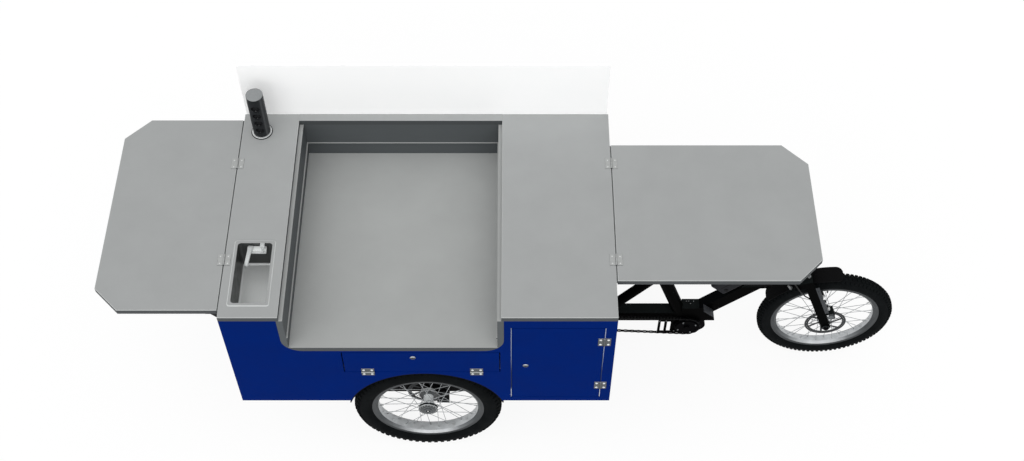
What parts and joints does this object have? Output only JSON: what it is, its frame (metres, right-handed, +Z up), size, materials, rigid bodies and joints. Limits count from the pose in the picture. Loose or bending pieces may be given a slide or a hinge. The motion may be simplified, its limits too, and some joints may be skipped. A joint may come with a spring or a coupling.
{
  "type": "food cargo bike",
  "caption": "Three-wheeled food cargo bike: worktop box with sunken well, sink, socket tower, folding end tables, screen, cupboard door and flap over the rear wheels, motor frame in front.",
  "frame": {"origin": "on the ground, below the middle of the whole object", "axes": "+X towards the front wheel, +Y to the bike's left side, +Z up"},
  "size_m": [2.909, 0.904, 1.214],
  "materials": {
    "board": "grey coated board, satin",
    "panel": "deep blue coated panel, satin",
    "lining": "grey coated panel, satin",
    "screen": "white sheet, smooth",
    "steel": "brushed steel",
    "bracket": "black powder coat",
    "chrome": "polished",
    "frame": "black powder coat on aluminium",
    "alloy": "polished aluminium",
    "rotor": "brushed steel",
    "tyre": "matt rubber",
    "black_plastic": "matt black",
    "tank": "translucent white",
    "motor": "black cast aluminium",
    "chain": "oiled steel",
    "saddle": "black covered padding",
    "cable": "black sheath"
  },
  "bodies": {
    "bike": {"rear_worktop": "board", "front_worktop": "board", "worktop_strip": "board", "well_floor": "board", "well_boards": "board", "serving_side_panel": "panel", "far_side_panel": "panel", "end_panels": "panel", "box_floor": "lining", "inner_panels": "lining", "wheel_houses": "black_plastic", "screen": "screen", "table_brackets": "bracket", "fixed_hinge_leaves": "steel", "sink": "steel", "tap_body": "chrome", "tower_collar": "steel", "water_tanks": "tank", "chassis_rails": "frame", "chassis_beams": "frame", "bike_frame": "frame", "motor": "motor", "chain": "chain", "battery": "black_plastic", "rear_calipers": "frame"},
    "rear_table": {"rear_table": "board", "rear_table_leaves": "steel"},
    "front_table": {"front_table": "board", "front_table_leaves": "steel"},
    "door": {"cupboard_door": "panel", "door_leaves": "steel"},
    "door_lock": {"door_lock": "steel"},
    "flap": {"flap": "panel", "flap_leaves": "steel"},
    "flap_lock": {"flap_lock": "steel"},
    "tap_spout": {"tap_spout": "chrome"},
    "tap_lever": {"tap_lever": "chrome"},
    "socket_tower": {"socket_tower": "black_plastic"},
    "right_wheel": {"right_tyre": "tyre", "right_rim": "alloy", "right_spokes": "alloy", "right_hub": "rotor"},
    "left_wheel": {"left_tyre": "tyre", "left_rim": "alloy", "left_spokes": "alloy", "left_hub": "rotor", "drive_shaft": "steel"},
    "motor_sprocket": {"motor_sprocket": "chain"},
    "steering": {"fork": "frame", "mudguard": "black_plastic", "handlebar": "frame", "brake_cable": "cable"},
    "front_wheel": {"front_tyre": "tyre", "front_rim": "alloy", "front_spokes": "alloy", "front_hub": "rotor"},
    "right_brake_lever": {"right_brake_lever": "frame"},
    "left_brake_lever": {"left_brake_lever": "frame"},
    "seat": {"saddle": "saddle", "seat_post": "frame"}
  },
  "joints": [
    {"name": "rear_table_fold", "type": "hinge", "parent": "bike", "child": "rear_table", "pos_m": [-1.0265, 0, 0.948], "axis": [0, 1, 0], "range_deg": [0, 98]},
    {"name": "front_table_fold", "type": "hinge", "parent": "bike", "child": "front_table", "pos_m": [0.3275, 0, 0.948], "axis": [0, -1, 0], "range_deg": [0, 180]},
    {"name": "door_swing", "type": "hinge", "parent": "bike", "child": "door", "pos_m": [0.2865, -0.449, 0.6385], "axis": [0, 0, 1], "range_deg": [0, 175]},
    {"name": "door_lock_turn", "type": "hinge", "parent": "door", "child": "door_lock", "pos_m": [0.0155, -0.446, 0.6315], "axis": [0, -1, 0], "range_deg": [0, 90]},
    {"name": "flap_swing", "type": "hinge", "parent": "bike", "child": "flap", "pos_m": [-0.352, -0.449, 0.584], "axis": [1, 0, 0], "range_deg": [0, 175]},
    {"name": "flap_lock_turn", "type": "hinge", "parent": "flap", "child": "flap_lock", "pos_m": [-0.3805, -0.446, 0.686], "axis": [0, -1, 0], "range_deg": [0, 90]},
    {"name": "tap_spout_swing", "type": "hinge", "parent": "bike", "child": "tap_spout", "pos_m": [-0.943, -0.153, 0.938], "axis": [0, 0, 1], "range_deg": [-15, 45]},
    {"name": "tap_lever_turn", "type": "hinge", "parent": "bike", "child": "tap_lever", "pos_m": [-0.899, -0.153, 0.938], "axis": [0, 0, 1], "range_deg": [0, 60]},
    {"name": "socket_tower_slide", "type": "slide", "parent": "bike", "child": "socket_tower", "axis": [0, 0, 1], "range_m": [-0.2, 0]},
    {"name": "right_wheel_spin", "type": "hinge", "parent": "bike", "child": "right_wheel", "pos_m": [-0.3465, -0.404, 0.276], "axis": [0, 1, 0], "continuous": true},
    {"name": "left_wheel_spin", "type": "hinge", "parent": "bike", "child": "left_wheel", "pos_m": [-0.3465, 0.404, 0.276], "axis": [0, 1, 0], "continuous": true},
    {"name": "motor_sprocket_spin", "type": "hinge", "parent": "bike", "child": "motor_sprocket", "pos_m": [0.6555, -0.03, 0.217], "axis": [0, 1, 0], "continuous": true},
    {"name": "steering_turn", "type": "hinge", "parent": "bike", "child": "steering", "pos_m": [1.16449, 0, 0.25125], "axis": [-0.3584, 0, 0.9336], "range_deg": [-45, 45]},
    {"name": "front_wheel_spin", "type": "hinge", "parent": "steering", "child": "front_wheel", "pos_m": [1.1925, 0, 0.262], "axis": [0, 1, 0], "continuous": true},
    {"name": "right_brake_lever_pull", "type": "hinge", "parent": "steering", "child": "right_brake_lever", "pos_m": [0.87191, -0.222, 0.79572], "axis": [0, 1, 0], "range_deg": [0, 11]},
    {"name": "left_brake_lever_pull", "type": "hinge", "parent": "steering", "child": "left_brake_lever", "pos_m": [0.87191, 0.222, 0.79572], "axis": [0, 1, 0], "range_deg": [0, 11]},
    {"name": "seat_height", "type": "slide", "parent": "bike", "child": "seat", "axis": [-0.3289, 0, 0.9444], "range_m": [-0.04, 0.06]}
  ],
  "couplings": [
    {"joint": "motor_sprocket_spin", "follows": "left_wheel_spin", "ratio": 0.69231}
  ]
}
